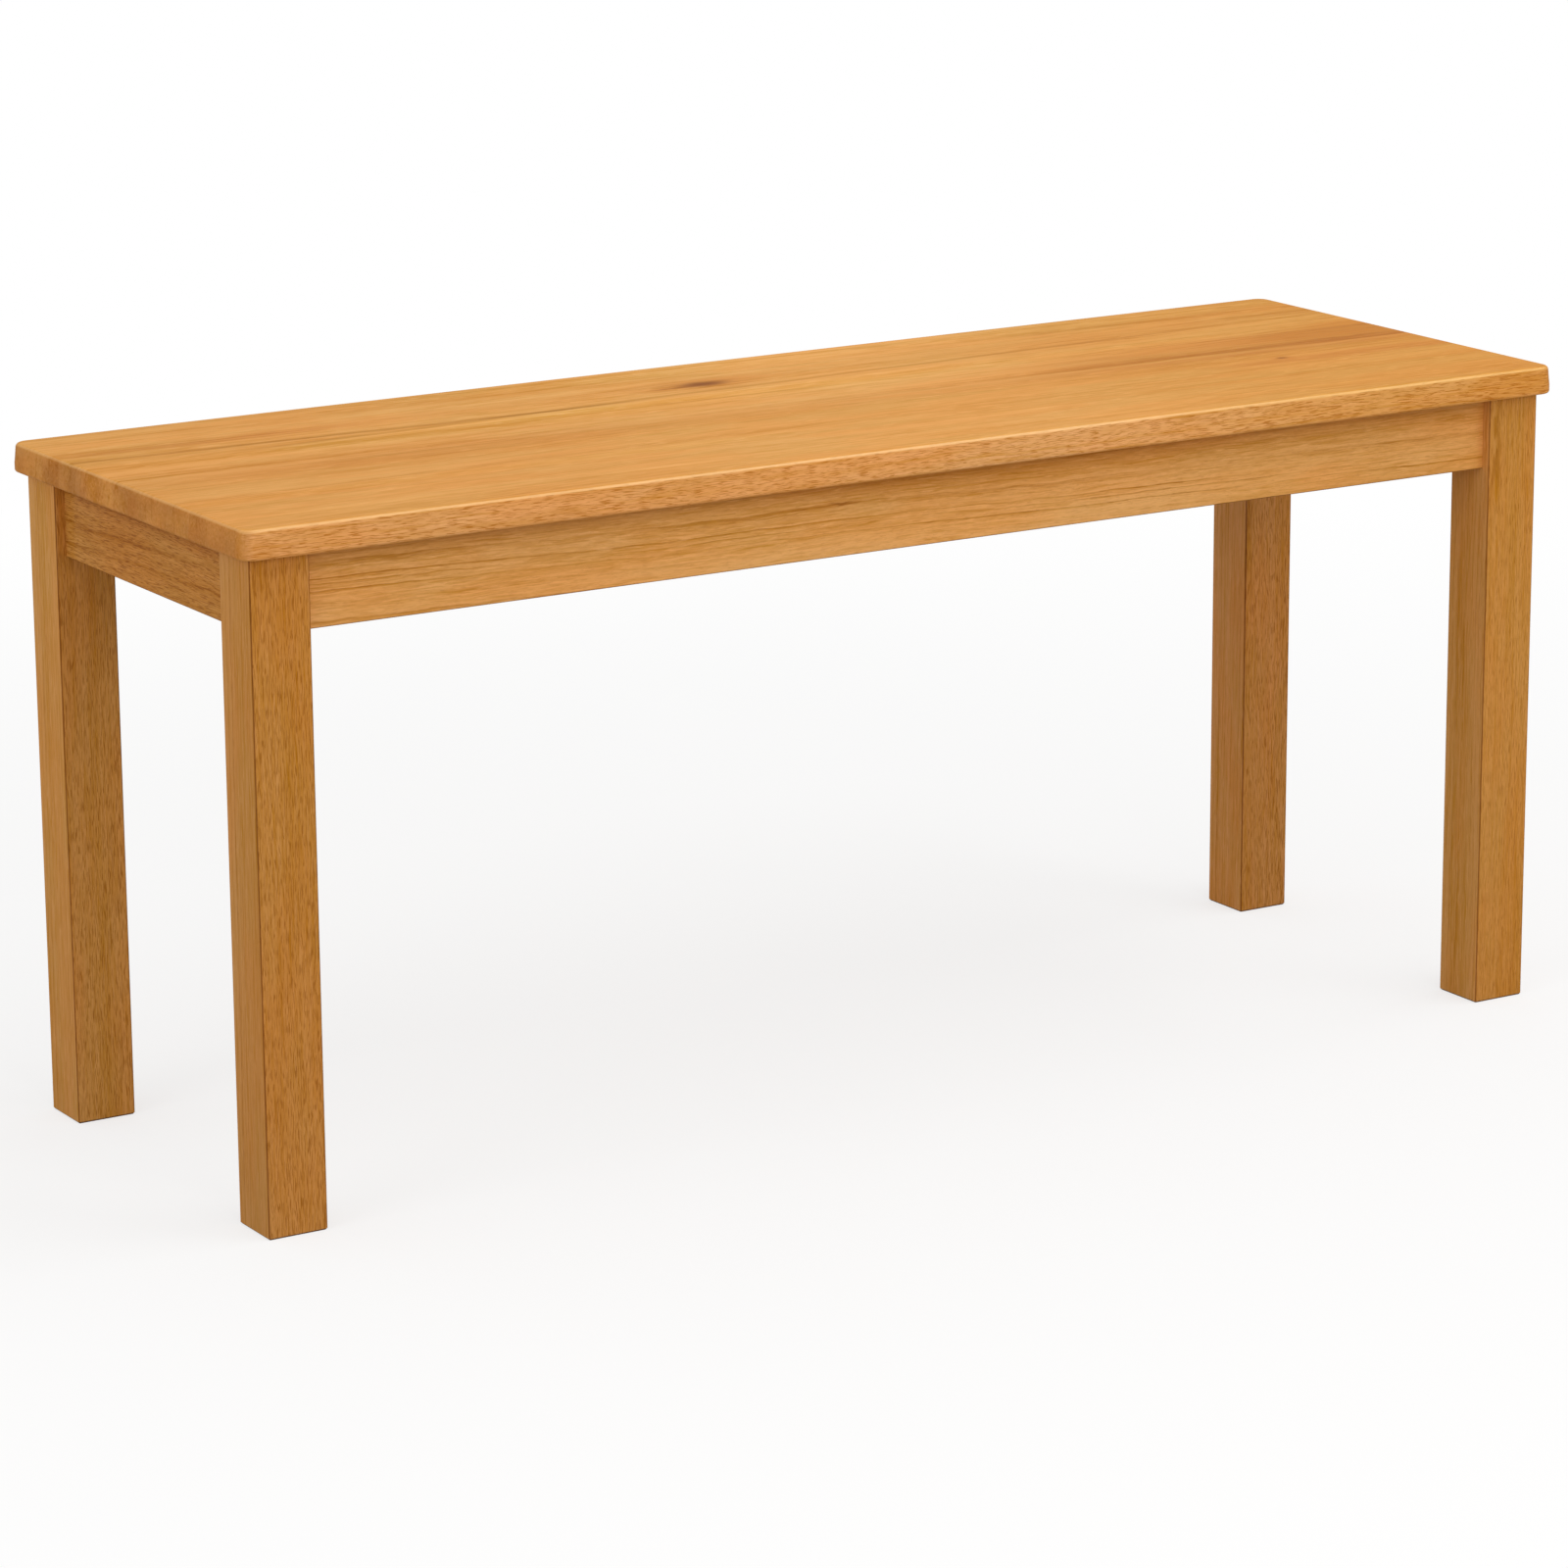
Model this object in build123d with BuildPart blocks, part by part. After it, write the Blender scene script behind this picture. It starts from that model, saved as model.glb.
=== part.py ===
from build123d import *
import math
import os

os.makedirs("parts", exist_ok=True)

# A backless bench in solid oak: a seat of glued boards on four square legs, joined by four aprons.
# Millimetres. The origin is on the floor under the middle of the seat. X runs along the bench,
# Y runs from the front to the back, and Z is up.

# The bench as a whole
seat_length = 1000.0
seat_width = 340.0
seat_height = 450.0

# The seat. Its edge leans in towards the top and ends in a soft round.
seat_thickness = 19.0
seat_corner_radius = 11.0
seat_edge_lean = 1.3
seat_edge_lean_share = 0.68
seat_top_radius = 3.0
seat_bottom_radius = 2.0

# Where one glued seat board ends and the next begins, from the back edge to the front edge,
# as shares of the seat's width
seat_board_shares = {
    "seat_board_back": (0.0, 0.153),
    "seat_board_middle_back": (0.153, 0.526),
    "seat_board_middle_front": (0.526, 0.779),
    "seat_board_front": (0.779, 1.0),
}

# The legs, and how far the seat reaches past them
leg_size = 41.0
leg_arris_radius = 1.6
foot_chamfer = 1.2
end_overhang = 8.0
side_overhang = 10.0

# The aprons under the seat, set back from the faces of the legs
apron_height = 50.0
apron_thickness = 20.0
apron_setback = 7.0
apron_arris_radius = 1.0

# The haunched mortise and tenon joints. Two tenons meet in a mitre inside each leg.
tenon_thickness = 8.0
tenon_shoulder = 6.0
haunch_height = 12.0
haunch_length = 8.0
mitre_gap = 0.5
mortise_end_gap = 1.0

# The wooden buttons that hold the seat to the aprons and let it swell and shrink
button_width = 28.0
button_body_length = 30.0
button_thickness = 18.0
button_tongue_length = 8.0
button_tongue_thickness = 8.0
button_stand_off = 1.5
button_bevel = 6.0
button_slot_depth = 9.5
button_slot_side_gap = 4.0
button_slot_drop = 1.0

# Places of the buttons along half of an apron's open inner face, as shares of that half
long_apron_button_shares = (-0.42, 0.42)
short_apron_button_shares = (0.0,)

# The corner blocks, glued and screwed across each inside corner
corner_block_thickness = 20.0
corner_block_height = 38.0
corner_block_leg_gap = 3.0
corner_block_chamfer = 1.5
corner_block_screw_level_shares = (0.27, 0.73)
corner_block_slot_travel = 4.0

# The wood screws. A bite share is how much of the piece behind takes the screw.
screw_diameter = 4.0
screw_head_diameter = 8.0
screw_head_height = 2.6
screw_head_round = 1.1
screw_tip_length = 4.0
screw_recess_span = 4.4
screw_recess_width = 1.0
screw_recess_depth = 1.5
screw_clearance = 0.25
screw_pocket_clearance = 0.75
seat_screw_bite_share = 0.63
apron_screw_bite_share = 0.8
corner_block_screw_wall_share = 0.64

# Levels above the floor
seat_underside = seat_height - seat_thickness
seat_lean_height = seat_thickness * seat_edge_lean_share
apron_bottom = seat_underside - apron_height
tenon_bottom = apron_bottom + tenon_shoulder
tenon_height = apron_height - tenon_shoulder - haunch_height
tenon_top = tenon_bottom + tenon_height

# Places in plan, all measured from the middle of the bench
leg_outer_x = seat_length / 2 - end_overhang
leg_outer_y = seat_width / 2 - side_overhang
leg_inner_x = leg_outer_x - leg_size
leg_inner_y = leg_outer_y - leg_size
apron_middle_x = leg_outer_x - apron_setback - apron_thickness / 2
apron_middle_y = leg_outer_y - apron_setback - apron_thickness / 2
apron_inner_x = apron_middle_x - apron_thickness / 2
apron_inner_y = apron_middle_y - apron_thickness / 2

# A tenon reaches across the leg to the mitre, and its mortise runs a little deeper
tenon_inset = apron_setback + (apron_thickness - tenon_thickness) / 2
tenon_reach = leg_size - tenon_inset - mitre_gap

# The corner block is a bar at 45 degrees, so each of its faces meets an apron this far from
# the corner between the aprons' inner faces
leg_proud = leg_size - apron_setback - apron_thickness
block_near = 2 * leg_proud + corner_block_leg_gap * math.sqrt(2)
block_far = block_near + corner_block_thickness * math.sqrt(2)
block_screw_run = (block_near + block_far) / 2
block_middle = block_screw_run / 2
block_screw_wall = (block_far - block_screw_run) * corner_block_screw_wall_share

# The screws' lengths under the head
apron_screw_length = block_screw_wall + apron_thickness * apron_screw_bite_share
seat_screw_length = button_thickness + seat_thickness * seat_screw_bite_share

ends = {"left": -1, "right": 1}
sides = {"front": -1, "back": 1}
bottom_aligned = (Align.CENTER, Align.CENTER, Align.MIN)

# Each apron's own plane stands on the floor under its middle, with X along the apron and
# Y towards the inside of the bench
apron_planes = {
    "front": Plane(origin=(0, -apron_middle_y, 0), x_dir=(1, 0, 0), z_dir=(0, 0, 1)),
    "back": Plane(origin=(0, apron_middle_y, 0), x_dir=(-1, 0, 0), z_dir=(0, 0, 1)),
    "left": Plane(origin=(-apron_middle_x, 0, 0), x_dir=(0, -1, 0), z_dir=(0, 0, 1)),
    "right": Plane(origin=(apron_middle_x, 0, 0), x_dir=(0, 1, 0), z_dir=(0, 0, 1)),
}
apron_half_lengths = {
    "front": leg_inner_x,
    "back": leg_inner_x,
    "left": leg_inner_y,
    "right": leg_inner_y,
}

# The open inner face of an apron ends at the corner blocks
button_places = {
    "front": [share * (apron_inner_x - block_far) for share in long_apron_button_shares],
    "back": [share * (apron_inner_x - block_far) for share in long_apron_button_shares],
    "left": [share * (apron_inner_y - block_far) for share in short_apron_button_shares],
    "right": [share * (apron_inner_y - block_far) for share in short_apron_button_shares],
}


def inner_face_plane(apron_plane):
    """The plane of an apron's inner face, with its Z into the bench and its Y up."""
    face_middle = apron_plane.origin + apron_plane.y_dir * (apron_thickness / 2)
    return Plane(origin=face_middle, x_dir=-apron_plane.x_dir, z_dir=apron_plane.y_dir)


def button_plane(apron_plane, place):
    """A button's plane, with X into the bench, Y up and its origin at the apron under the seat."""
    start = (
        apron_plane.origin
        + apron_plane.y_dir * (apron_thickness / 2)
        + apron_plane.x_dir * place
        + Vector(0, 0, seat_underside)
    )
    return Plane(origin=start, x_dir=apron_plane.y_dir, z_dir=apron_plane.x_dir)


def block_plane(end, side):
    """A corner's plane, under the seat where the aprons' inner faces meet, with Z up."""
    corner = (end * apron_inner_x, side * apron_inner_y, seat_underside)
    return Plane(origin=corner, x_dir=(-end, 0, 0), z_dir=(0, 0, 1))


def apron_screw_planes(end, side):
    """Where the block's screws bear, head outwards: two into each of the two aprons."""
    planes = []
    for share in corner_block_screw_level_shares:
        level = seat_underside - corner_block_height * share
        into_long = (
            end * (apron_inner_x - block_screw_run),
            side * (apron_inner_y - block_screw_wall),
            level,
        )
        into_short = (
            end * (apron_inner_x - block_screw_wall),
            side * (apron_inner_y - block_screw_run),
            level,
        )
        planes.append(Plane(origin=into_long, x_dir=(1, 0, 0), z_dir=(0, -side, 0)))
        planes.append(Plane(origin=into_short, x_dir=(0, 1, 0), z_dir=(-end, 0, 0)))
    return planes


def seat_screw_plane(x, y):
    """Where a seat screw bears under a block or a button, with its head downwards."""
    bearing = (x, y, seat_underside - button_thickness)
    return Plane(origin=bearing, x_dir=(1, 0, 0), z_dir=(0, 0, -1))


corners = [(end_name, side_name) for end_name in ends for side_name in sides]
block_seat_screw_planes = {
    (end_name, side_name): seat_screw_plane(
        ends[end_name] * (apron_inner_x - block_middle),
        sides[side_name] * (apron_inner_y - block_middle),
    )
    for end_name, side_name in corners
}
button_middle = button_stand_off + button_body_length / 2
button_seat_screw_planes = []
for apron_name, places in button_places.items():
    for place in places:
        middle = button_plane(apron_planes[apron_name], place)
        spot = middle.origin + middle.x_dir * button_middle
        button_seat_screw_planes.append(seat_screw_plane(spot.X, spot.Y))
seat_screw_planes = list(block_seat_screw_planes.values()) + button_seat_screw_planes


def make_seat_board(back_share, front_share):
    """One board of the seat: the whole seat's shape, kept between two lines across its width."""
    with BuildPart() as board:
        with BuildSketch(Plane.XY.offset(seat_underside)):
            RectangleRounded(seat_length, seat_width, seat_corner_radius)
        extrude(amount=seat_thickness - seat_lean_height)
        with BuildSketch(Plane.XY.offset(seat_height - seat_lean_height)):
            RectangleRounded(seat_length, seat_width, seat_corner_radius)
        lean_angle = math.degrees(math.atan2(seat_edge_lean, seat_lean_height))
        extrude(amount=seat_lean_height, taper=lean_angle)
        fillet(board.edges().group_by(Axis.Z)[-1], radius=seat_top_radius)
        fillet(board.edges().group_by(Axis.Z)[0], radius=seat_bottom_radius)
        with Locations(*seat_screw_planes):
            Hole(radius=screw_diameter / 2, depth=seat_screw_length)
        board_width = seat_width * (front_share - back_share)
        board_middle = seat_width / 2 - seat_width * (front_share + back_share) / 2
        with BuildSketch(Plane.XY.offset(seat_underside)):
            with Locations((0, board_middle)):
                Rectangle(seat_length, board_width)
        extrude(amount=seat_thickness, mode=Mode.INTERSECT)
    return board.part


def make_leg(end, side):
    """A square leg with a mortise in each of its two inner faces, open at the top for a haunch."""
    with BuildPart() as leg:
        with BuildSketch(Plane.XY):
            with Locations((end * (leg_outer_x - leg_size / 2), side * (leg_outer_y - leg_size / 2))):
                Rectangle(leg_size, leg_size)
        extrude(amount=seat_underside)
        fillet(leg.edges().filter_by(Axis.Z), radius=leg_arris_radius)
        chamfer(leg.faces().sort_by(Axis.Z)[0].edges(), length=foot_chamfer)
        steps = (
            (tenon_reach + mitre_gap, tenon_bottom, tenon_height),
            (haunch_length, tenon_top, haunch_height),
        )
        for reach, bottom, height in steps:
            depth = reach + mortise_end_gap
            with Locations((end * (leg_inner_x + depth / 2), side * apron_middle_y, bottom)):
                Box(depth, tenon_thickness, height, align=bottom_aligned, mode=Mode.SUBTRACT)
            with Locations((end * apron_middle_x, side * (leg_inner_y + depth / 2), bottom)):
                Box(tenon_thickness, depth, height, align=bottom_aligned, mode=Mode.SUBTRACT)
    return leg.part


def make_apron(name):
    """An apron with a mitred, haunched tenon at each end and slots for its buttons."""
    plane = apron_planes[name]
    inner_face = inner_face_plane(plane)
    half_length = apron_half_lengths[name]
    half_tenon = tenon_thickness / 2
    with BuildPart() as apron:
        with BuildSketch(plane.offset(apron_bottom)):
            Rectangle(2 * half_length, apron_thickness)
        extrude(amount=apron_height)
        fillet(apron.edges().group_by(Axis.Z)[0].group_by(SortBy.LENGTH)[-1], radius=apron_arris_radius)
        for end in ends.values():
            shoulder = end * half_length
            outer_tip = end * (half_length + tenon_reach)
            inner_tip = end * (half_length + tenon_reach - tenon_thickness)
            with BuildSketch(plane.offset(tenon_bottom)):
                Polygon(
                    (shoulder, -half_tenon),
                    (outer_tip, -half_tenon),
                    (inner_tip, half_tenon),
                    (shoulder, half_tenon),
                )
            extrude(amount=tenon_height)
            with BuildSketch(plane.offset(tenon_top)):
                with Locations((shoulder + end * haunch_length / 2, 0)):
                    Rectangle(haunch_length, tenon_thickness)
            extrude(amount=haunch_height)
        slot_width = button_width + 2 * button_slot_side_gap
        slot_height = button_tongue_thickness + button_slot_drop
        slot_middle = seat_underside - button_thickness + button_tongue_thickness - slot_height / 2
        with BuildSketch(inner_face):
            with Locations(*[(place, slot_middle) for place in button_places[name]]):
                Rectangle(slot_width, slot_height)
        extrude(amount=-button_slot_depth, mode=Mode.SUBTRACT)
        for screw_plane in apron_screws[name]:
            with Locations(screw_plane):
                Hole(radius=screw_diameter / 2, depth=apron_screw_length)
    return apron.part


def make_corner_block(end_name, side_name):
    """A bar across a corner, drilled for two screws into each apron and slotted for one up."""
    end, side = ends[end_name], sides[side_name]
    plane = block_plane(end, side)
    # The corner's plane turns over where end and side differ, so inwards is up or down its Y
    inwards = end * side
    with BuildPart() as block:
        with BuildSketch(plane.offset(-corner_block_height)):
            Polygon(
                (block_near, 0),
                (block_far, 0),
                (0, inwards * block_far),
                (0, inwards * block_near),
            )
        extrude(amount=corner_block_height)
        chamfer(block.faces().sort_by(Axis.Z)[0].edges(), length=corner_block_chamfer)
        pocket_radius = screw_head_diameter / 2 + screw_pocket_clearance
        hole_radius = screw_diameter / 2 + screw_clearance
        with Locations(*apron_screw_planes(end, side)):
            CounterBoreHole(hole_radius, pocket_radius, 0, depth=block_far)
        seat_screw = block_seat_screw_planes[(end_name, side_name)]
        with BuildSketch(seat_screw):
            Circle(pocket_radius)
        extrude(amount=corner_block_height - button_thickness, mode=Mode.SUBTRACT)
        with BuildSketch(seat_screw):
            slot_length = 2 * hole_radius + corner_block_slot_travel
            SlotOverall(slot_length, 2 * hole_radius, rotation=90)
        extrude(amount=-button_thickness, mode=Mode.SUBTRACT)
    return block.part


def make_button(apron_name, place):
    """A turn of wood with a tongue that hooks into the apron's slot."""
    plane = button_plane(apron_planes[apron_name], place)
    inner_end = button_stand_off + button_body_length
    tongue_tip = button_stand_off - button_tongue_length
    tongue_top = button_tongue_thickness - button_thickness
    with BuildPart() as button:
        with BuildSketch(plane.offset(-button_width / 2)):
            Polygon(
                (tongue_tip, -button_thickness),
                (inner_end - button_bevel, -button_thickness),
                (inner_end, button_bevel - button_thickness),
                (inner_end, 0),
                (button_stand_off, 0),
                (button_stand_off, tongue_top),
                (tongue_tip, tongue_top),
            )
        extrude(amount=button_width)
        spot = plane.origin + plane.x_dir * button_middle
        with Locations(seat_screw_plane(spot.X, spot.Y)):
            Hole(radius=screw_diameter / 2 + screw_clearance, depth=button_thickness)
    return button.part


def make_screw(length):
    """A pan-head wood screw. Its head bears on the XY plane and its shank points down."""
    with BuildPart() as screw:
        with BuildSketch(Plane.XZ):
            with BuildLine():
                Polyline(
                    (0, screw_head_height),
                    (0, -length),
                    (screw_diameter / 2, screw_tip_length - length),
                    (screw_diameter / 2, 0),
                    (screw_head_diameter / 2, 0),
                    (screw_head_diameter / 2, screw_head_height),
                    close=True,
                )
            make_face()
        revolve(axis=Axis.Z)
        fillet(screw.edges().group_by(Axis.Z)[-1], radius=screw_head_round)
        with BuildSketch(Plane.XY.offset(screw_head_height)):
            with PolarLocations(0, 2, angular_range=180):
                Rectangle(screw_recess_span, screw_recess_width)
        extrude(amount=-screw_recess_depth, mode=Mode.SUBTRACT)
    return screw.part


# The apron screws come in fours, one four in each corner block, shared out to their aprons
apron_screws = {name: [] for name in apron_planes}
all_apron_screw_planes = []
for end_name, side_name in corners:
    screw_planes = apron_screw_planes(ends[end_name], sides[side_name])
    apron_screws[side_name] += screw_planes[0::2]
    apron_screws[end_name] += screw_planes[1::2]
    all_apron_screw_planes += screw_planes


def write(name, part):
    """Label a finished piece and write it to its own file."""
    part.label = name
    export_step(part, f"parts/{name}.step")


for board_name, (back_share, front_share) in seat_board_shares.items():
    write(board_name, make_seat_board(back_share, front_share))

for end_name, side_name in corners:
    write(f"leg_{side_name}_{end_name}", make_leg(ends[end_name], sides[side_name]))
    write(f"corner_block_{side_name}_{end_name}", make_corner_block(end_name, side_name))

for apron_name in apron_planes:
    write(f"apron_{apron_name}", make_apron(apron_name))

for apron_name, places in button_places.items():
    for number, place in enumerate(places, start=1):
        write(f"seat_button_{apron_name}_{number}", make_button(apron_name, place))

seat_screw = make_screw(seat_screw_length)
with BuildPart() as seat_screws:
    with Locations(*seat_screw_planes):
        add(seat_screw)
write("seat_screws", seat_screws.part)

apron_screw = make_screw(apron_screw_length)
with BuildPart() as apron_screws_group:
    with Locations(*all_apron_screw_planes):
        add(apron_screw)
write("corner_block_screws", apron_screws_group.part)
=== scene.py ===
import math
import bmesh
import bpy
from mathutils import Matrix, Vector


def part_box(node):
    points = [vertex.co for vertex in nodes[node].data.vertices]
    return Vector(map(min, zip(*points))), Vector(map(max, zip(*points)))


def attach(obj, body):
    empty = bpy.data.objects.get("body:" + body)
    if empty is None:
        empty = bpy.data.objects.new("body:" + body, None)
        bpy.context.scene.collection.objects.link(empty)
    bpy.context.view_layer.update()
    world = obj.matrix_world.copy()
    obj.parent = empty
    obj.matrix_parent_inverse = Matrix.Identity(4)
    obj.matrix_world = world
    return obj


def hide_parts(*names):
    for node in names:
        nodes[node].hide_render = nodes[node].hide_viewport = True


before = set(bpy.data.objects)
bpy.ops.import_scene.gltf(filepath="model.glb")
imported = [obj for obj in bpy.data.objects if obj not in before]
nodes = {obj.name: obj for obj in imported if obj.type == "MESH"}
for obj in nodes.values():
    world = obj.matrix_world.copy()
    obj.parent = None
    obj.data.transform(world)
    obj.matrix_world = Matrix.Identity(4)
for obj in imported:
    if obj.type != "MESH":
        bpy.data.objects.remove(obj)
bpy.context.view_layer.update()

# A backless oak bench. Metres, in the model's own frame: X along the bench, Y to the back, Z up.

# How the tree lies in each stick. Grain turns bring a stick's own axes, X along its grain, to the bench.
grain_turns = {
    "along the bench": (0.0, 0.0, 0.0),
    "across the bench": (0.0, 0.0, math.radians(90)),
    "upright": (0.0, math.radians(-90), 0.0),
    "across a front left or back right corner": (0.0, 0.0, math.radians(-45)),
    "across a front right or back left corner": (0.0, 0.0, math.radians(45)),
}

# Stains, as the colours of the pale late wood, the deep early wood, the open pores and a painted highlight
# on an arris that looks up.
# The quartered tint is for the faces that the rings meet squarely: partly their own colour, and partly
# painted light set to how light falls on those faces.
seat_stain = {
    "Pale": (0.80, 0.388, 0.142, 1),
    "Deep": (0.59, 0.240, 0.028, 1),
    "Pore": (0.42, 0.125, 0.002, 1),
    "Painted Highlight": (1.00, 0.62, 0.27, 1),
    "Quartered And Painted Light": (1.02, 1.01, 0.70, 1),
}
leg_stain = {
    "Pale": (0.61, 0.277, 0.074, 1),
    "Deep": (0.47, 0.183, 0.011, 1),
    "Pore": (0.27, 0.082, 0.001, 1),
    "Painted Highlight": (0.66, 0.33, 0.09, 1),
}
apron_stain = {
    "Pale": (0.80, 0.400, 0.132, 1),
    "Deep": (0.58, 0.250, 0.038, 1),
    "Pore": (0.31, 0.092, 0.003, 1),
    "Painted Highlight": (0.80, 0.41, 0.12, 1),
}
bare_wood = {
    "Pale": (0.66, 0.46, 0.27, 1),
    "Deep": (0.55, 0.35, 0.18, 1),
    "Pore": (0.34, 0.19, 0.09, 1),
    "Painted Highlight": (0.74, 0.55, 0.36, 1),
}

# Tints that a stick's colour is multiplied by, among them painted shade on arrises and under the seat, and
# the knots' own colour
cooler = (0.99, 1.005, 1.01, 1)
warmer = (1.015, 0.95, 0.87, 1)
dry_end_grain = (0.78, 0.715, 0.72, 1)
soaked_end_grain = (0.66, 0.575, 0.545, 1)
shaded_arris = (0.45, 0.36, 0.28, 1)
shade_under_seat = (0.80, 0.74, 0.60, 1)
vein_tint = (0.64, 0.53, 0.12, 1)
knot_halo = (0.80, 0.62, 0.32, 1)
knot_core = (0.27, 0.078, 0.003, 1)

# Noises in the wood. The first three numbers are the size of their features, in metres: along the stick
# and two ways across it. The last is where the noise starts, so that no two of them run together.
wood_noises = {
    "wander": ((0.30, 0.07, 0.07), 3.1),
    "waver": ((0.028, 0.006, 0.006), 8.7),
    "fading of the rings": ((0.13, 0.010, 0.010), 9.3),
    "wide pores": ((0.011, 0.00085, 0.00085), 1.3),
    "narrow pores": ((0.006, 0.00040, 0.00040), 5.9),
    "rays": ((0.0095, 0.00052, 0.011), 2.2),
    "flecks": ((0.020, 0.0012, 0.0012), 7.7),
    "bands": ((0.55, 0.022, 0.022), 6.4),
    "fibres": ((0.034, 0.0012, 0.0012), 4.8),
    "threads": ((0.10, 0.0016, 0.0016), 2.9),
    "warmth": ((0.14, 0.030, 0.030), 7.3),
    "thirst": ((0.02, 0.030, 0.020), 5.2),
}

# How far each mark takes a plain stick from its pale colour towards its deep one
plain_tone = 0.30
band_tone = 1.5
fibre_tone = 1.7
early_tone = 0.9
thread_tone = 0.28
fleck_tone = -0.60

# How much of the pores' colour each mark takes
line_strength = 0.45
pore_strength = 0.52
dash_strength = 0.70

# How wide the grain's small bends are, how deep the pores are, and how much lacquer lies over the stain and
# how dull it is
waver_width = 0.0022
pore_depth = 0.00008
lacquer = 0.12
lacquer_roughness = 0.2


class Recipe:
    """Adds nodes to one tree. Most methods give back a socket that the new node puts out."""

    def __init__(self, tree):
        self.tree = tree

    def add(self, kind, *values, out=0, **settings):
        """A node of that kind, whose inputs take the values in turn: links, or plain settings."""
        node = self.tree.nodes.new(kind)
        for name, setting in settings.items():
            setattr(node, name, setting)
        for socket, value in zip(node.inputs, values):
            self.fill(socket, value)
        return node.outputs[out]

    def fill(self, socket, value):
        if isinstance(value, bpy.types.NodeSocket):
            self.tree.links.new(value, socket)
        elif value is not None:
            socket.default_value = value

    def maths(self, operation, *values):
        return self.add("ShaderNodeMath", *values, operation=operation)

    def vectors(self, operation, *values, out="Vector"):
        return self.add("ShaderNodeVectorMath", *values, out=out, operation=operation)

    def stretch(self, vector, factor):
        return self.add("ShaderNodeVectorMath", vector, None, None, factor, operation="SCALE")

    def parts_of(self, vector):
        """The X, Y and Z of a vector."""
        return tuple(self.add("ShaderNodeSeparateXYZ", vector).node.outputs)

    def ease(self, value, low, high, start=0.0, end=1.0):
        """Goes softly from start to end as the value goes from low to high."""
        values = (value, low, high, start, end)
        return self.add("ShaderNodeMapRange", *values, interpolation_type="SMOOTHSTEP")

    def mix(self, share, first, second, way="MIX"):
        """The first colour, turned into the second by that share."""
        node = self.tree.nodes.new("ShaderNodeMix")
        node.data_type = "RGBA"
        node.blend_type = way
        sockets = (node.inputs[0], node.inputs[6], node.inputs[7])
        for socket, value in zip(sockets, (share, first, second)):
            self.fill(socket, value)
        return node.outputs[2]

    def noise(self, place, size, start, detail=1.0, out="Fac"):
        """Noise with features of about those three lengths, from its own start."""
        scaled = self.vectors("MULTIPLY_ADD", place, [1 / length for length in size], [start] * 3)
        return self.add("ShaderNodeTexNoise", scaled, None, 1.0, detail, 0.55, out=out)


def bend_grain(recipe, given):
    """A place in the stick's own part of the tree, the same with bent grain, and its way from the heart."""
    start = recipe.add("ShaderNodeCombineXYZ", given["Start"], given["Start"], given["Start"])
    own_place = recipe.vectors("ADD", given["Place"], start)
    along = recipe.parts_of(given["Place"])[0]

    # The grain wanders slowly, and wavers a little on the way
    wander = recipe.noise(own_place, *wood_noises["wander"], out="Color")
    wander = recipe.stretch(recipe.vectors("SUBTRACT", wander, (0.5, 0.5, 0.5)), given["Wander"])
    waver = recipe.noise(own_place, *wood_noises["waver"], out="Color")
    waver = recipe.stretch(recipe.vectors("SUBTRACT", waver, (0.5, 0.5, 0.5)), waver_width)
    bent = recipe.vectors("ADD", recipe.vectors("ADD", own_place, wander), waver)
    leaning = recipe.stretch(given["Lean"], along)
    from_heart = recipe.vectors("ADD", given["Place"], recipe.vectors("ADD", wander, waver))
    from_heart = recipe.vectors("SUBTRACT", recipe.vectors("ADD", from_heart, leaning), given["Heart"])
    return own_place, bent, recipe.vectors("MULTIPLY", from_heart, (0, 1, 1))


def grow_rings(recipe, given, own_place, ring_radius):
    """The early wood in each ring, and the dark line where a ring starts. No two rings are alike."""
    uneven = recipe.add(
        "ShaderNodeTexNoise", None, recipe.maths("MULTIPLY", ring_radius, 42.0), 1.0, noise_dimensions="1D"
    )
    rings = recipe.maths("DIVIDE", ring_radius, given["Ring Width"])
    rings = recipe.maths("MULTIPLY_ADD", uneven, 3.0, rings)
    grown = recipe.maths("FRACT", rings)

    # A ring starts at once with open early wood, and closes slowly
    opening = recipe.ease(grown, 0.0, 0.07)
    closing = recipe.ease(grown, 0.10, 0.48, 1.0, 0.0)
    slow_closing = recipe.ease(grown, 0.10, 0.95, 0.4, 0.0)
    ring_mark = recipe.add(
        "ShaderNodeTexWhiteNoise", None, recipe.maths("FLOOR", rings), noise_dimensions="1D"
    )
    ring_mark = recipe.ease(ring_mark, 0.0, 1.0, 0.10, 1.0)
    fading = recipe.noise(own_place, *wood_noises["fading of the rings"])
    fading = recipe.ease(fading, 0.36, 0.60, 0.3, 1.0)
    early = recipe.maths("MULTIPLY", opening, recipe.maths("MAXIMUM", closing, slow_closing))
    early = recipe.maths("MULTIPLY", recipe.maths("MULTIPLY", early, ring_mark), fading)
    lines = recipe.maths("MULTIPLY", recipe.ease(grown, 0.0, 0.05), recipe.ease(grown, 0.10, 0.24, 1.0, 0.0))
    lines = recipe.maths("MULTIPLY", recipe.maths("MULTIPLY", lines, ring_mark), fading)
    return early, recipe.maths("MULTIPLY", lines, given["Lines"])


def open_pores(recipe, given, bent, early):
    """Fine tubes along the grain, wide in early wood and narrow in late wood."""
    wide = recipe.ease(recipe.noise(bent, *wood_noises["wide pores"]), 0.53, 0.62)
    narrow = recipe.ease(recipe.noise(bent, *wood_noises["narrow pores"]), 0.57, 0.67)
    wide = recipe.maths("MULTIPLY", wide, recipe.maths("MULTIPLY_ADD", early, 0.80, 0.20))
    pores = recipe.maths("MAXIMUM", wide, recipe.maths("MULTIPLY", narrow, 0.45))
    return recipe.maths("MULTIPLY", pores, given["Pores"])


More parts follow.
